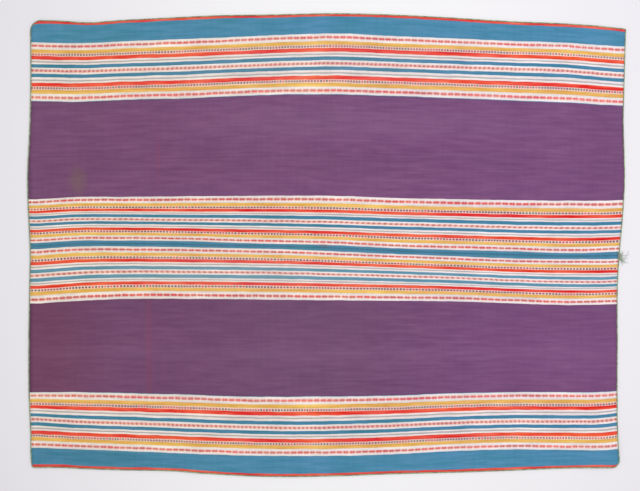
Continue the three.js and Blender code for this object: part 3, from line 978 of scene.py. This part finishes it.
def thread_material(name, groups, ground, second, pitch, plies, fleck, tip=None):
    """Twisted wool thread: two shades plied together, with the twist's ridges and painted shade in the
    hollows between plies, paler to the tip if asked.
    """
    fleck_detail, fleck_from, fleck_to = 3.0, 0.38, 0.62
    fibres, streaks, patches, hollow_shade, bump_strong = 7.0, 0.25, 0.2, 0.35, 0.5
    material, nodes, shader, split = woollen(name)
    along = nodes.times(split["X"], 1 / MM)
    ply = nodes.group(groups["ply"], {"Along": along, "Around": split["Y"], "Pitch": pitch, "Plies": plies})
    mottled = nodes.noise(nodes.times(along, fleck), split["Y"], fleck_detail)
    mottled = nodes.spread(mottled, fleck_from, fleck_to)
    colour = nodes.blend(mottled, linear(WOOL[ground]), linear(WOOL[second]))
    if tip:
        colour = nodes.blend(nodes.spread(along, *TIP_PALES), colour, linear(WOOL[tip]))
    around = nodes.times(split["Y"], fibres)
    dyed = {"Colour": colour, "Along": along, "Thread": around, "Streak": streaks, "Patch": patches}
    colour = nodes.group(groups["tone"], dyed)["Colour"]
    # Painted shade in the hollows between the plies
    dark = nodes.times(ply["Hollow"], hollow_shade)
    nodes.feed(shader.inputs["Base Color"], nodes.blend(dark, colour, THREAD_SHADE))
    nodes.bump(shader, bump_strong, ply["Height"])
    return material


def floor_material():
    """A plain pale surface, lightest in the soft pool of light round the mantle."""
    material, nodes, shader = new_material("pale_surface", {"Roughness": 0.95, "Specular IOR Level": 0.1})
    place = nodes.add("ShaderNodeTexCoord").outputs["Object"]
    spot = nodes.add("ShaderNodeSeparateXYZ", {"Vector": place}).outputs
    pool_x, pool_y, lit, dim = 1.2, 1.6, (251, 250, 248), (223, 219, 225)
    a, b = nodes.math("DIVIDE", spot["X"], pool_x), nodes.math("DIVIDE", spot["Y"], pool_y)
    far = nodes.hypot(a, b)
    colour = nodes.blend(nodes.spread(far, 0.0, 1.0), linear(lit), linear(dim))
    nodes.feed(shader.inputs["Base Color"], colour)
    return material


# Making

def look_down():
    """The camera straight above, with the photograph's frame of 1280 mm across."""
    frame_wide, lens, sensor = 1280, 85, 36
    middle_x, middle_y, cloth_level = -17.8, -0.6, 2.5
    data = bpy.data.cameras.new("camera")
    data.lens, data.sensor_width = lens, sensor
    data.clip_end = 50
    camera = bpy.data.objects.new("camera", data)
    camera.location = (middle_x * MM, middle_y * MM, (frame_wide * lens / sensor + cloth_level) * MM)
    bpy.context.scene.collection.objects.link(camera)
    bpy.context.scene.camera = camera


def soft_light():
    """Even studio light from all round, a little stronger from the upper right."""
    world = bpy.data.worlds.new("studio")
    bpy.context.scene.world = world
    world.use_nodes = True
    sky = world.node_tree.nodes["Background"]
    sky.inputs["Color"].default_value = (1.0, 0.995, 0.985, 1)
    sky.inputs["Strength"].default_value = 0.69
    data = bpy.data.lights.new("softbox", "AREA")
    data.energy, data.size, data.color = 98, 3.2, (0.97, 0.98, 1.08)
    softbox = bpy.data.objects.new("softbox", data)
    softbox.location = (2.2, 1.4, 4.0)
    softbox.rotation_euler = (-softbox.location).to_track_quat("-Z", "Y").to_euler()
    bpy.context.scene.collection.objects.link(softbox)


def lay_floor():
    """The plain surface that the mantle lies on."""
    half, below = 20000, -0.3
    spots = [(-half, -half, below), (half, -half, below), (half, half, below), (-half, half, below)]
    floor = mesh_piece("floor", spots, [[0, 1, 2, 3]])
    floor.data.materials.append(floor_material())


def fit(piece, material, slot, *nodes):
    """Gives a piece its material and puts it on the mantle's body in place of its solids. The record slot is
    not used.
    """
    piece.data.materials.append(material)
    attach(piece, "root")
    if nodes:
        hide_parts(*nodes)
    return piece


bpy.context.scene.view_settings.view_transform = "Standard"
look_down()
soft_light()
lay_floor()

motifs = dict(
    dash=charted_motif("dash_motif", DASH_CHART),
    dots=charted_motif("tick_motif", TICK_CHART),
    mid=charted_motif("block_motif", BLOCK_CHART),
)
groups = dict(plan=warp_plan(motifs), tone=wool_tone(), weave=warp_face(), ply=twisted_ply(), mark=mark())

upper_wool = cloth_material("upper_wool", groups, 0.0, 0.0, UPPER_MARKS)
lower_wool = cloth_material("lower_wool", groups, 21.0, 1.0, LOWER_MARKS)
edging_wool = thread_material("edging_wool", groups, "edging", "olive", RIB_PITCH, 3.0, 0.11)
seam_thread = thread_material("seam_thread", groups, "seam", "blue", 1.6, 2.0, 0.2)
loose_thread = thread_material("loose_thread", groups, "knot", "thread", 2.4, 2.0, 0.16, "pale_thread")

upper_cloth = fit(cloth_piece("upper_cloth", PANELS["upper"]), upper_wool, "panel_cloth", "upper_panel")
lower_cloth = fit(cloth_piece("lower_cloth", PANELS["lower"]), lower_wool, "panel_cloth", "lower_panel")
edging = fit(edging_piece("green_edging"), edging_wool, "edging_wool", "edge_binding")
stitches = fit(seam_stitches("seam_stitches"), seam_thread, "panel_cloth")
ends = fit(thread_ends("thread_ends"), loose_thread, "loose_thread", "thread_tuft")
